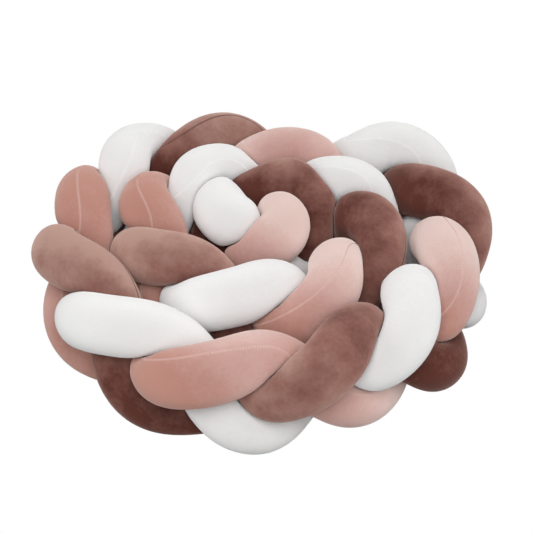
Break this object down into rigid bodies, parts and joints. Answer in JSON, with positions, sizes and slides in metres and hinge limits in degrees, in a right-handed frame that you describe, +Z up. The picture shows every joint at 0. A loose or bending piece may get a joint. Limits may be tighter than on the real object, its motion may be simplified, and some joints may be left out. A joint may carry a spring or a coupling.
{
  "type": "braided crib bumper",
  "caption": "Soft plush tubes in a flat braid, set on edge and coiled into a round nest, as a padded crib side guard.",
  "frame": {"origin": "middle of the coil's outline, on the surface that it stands on", "axes": "+Z up, across the braid's flat width, +X to the right seen from the front, and the front at -Y"},
  "size_m": [0.5602, 0.5215, 0.158],
  "materials": {
    "brown_plush": "short soft pile, matt with a faint sheen",
    "white_plush": "short soft pile, matt with a faint sheen",
    "pink_plush": "short soft pile, matt with a faint sheen"
  },
  "bodies": {
    "root": {"strand_brown": "brown_plush", "strand_white": "white_plush", "strand_pink": "pink_plush"}
  },
  "joints": []
}
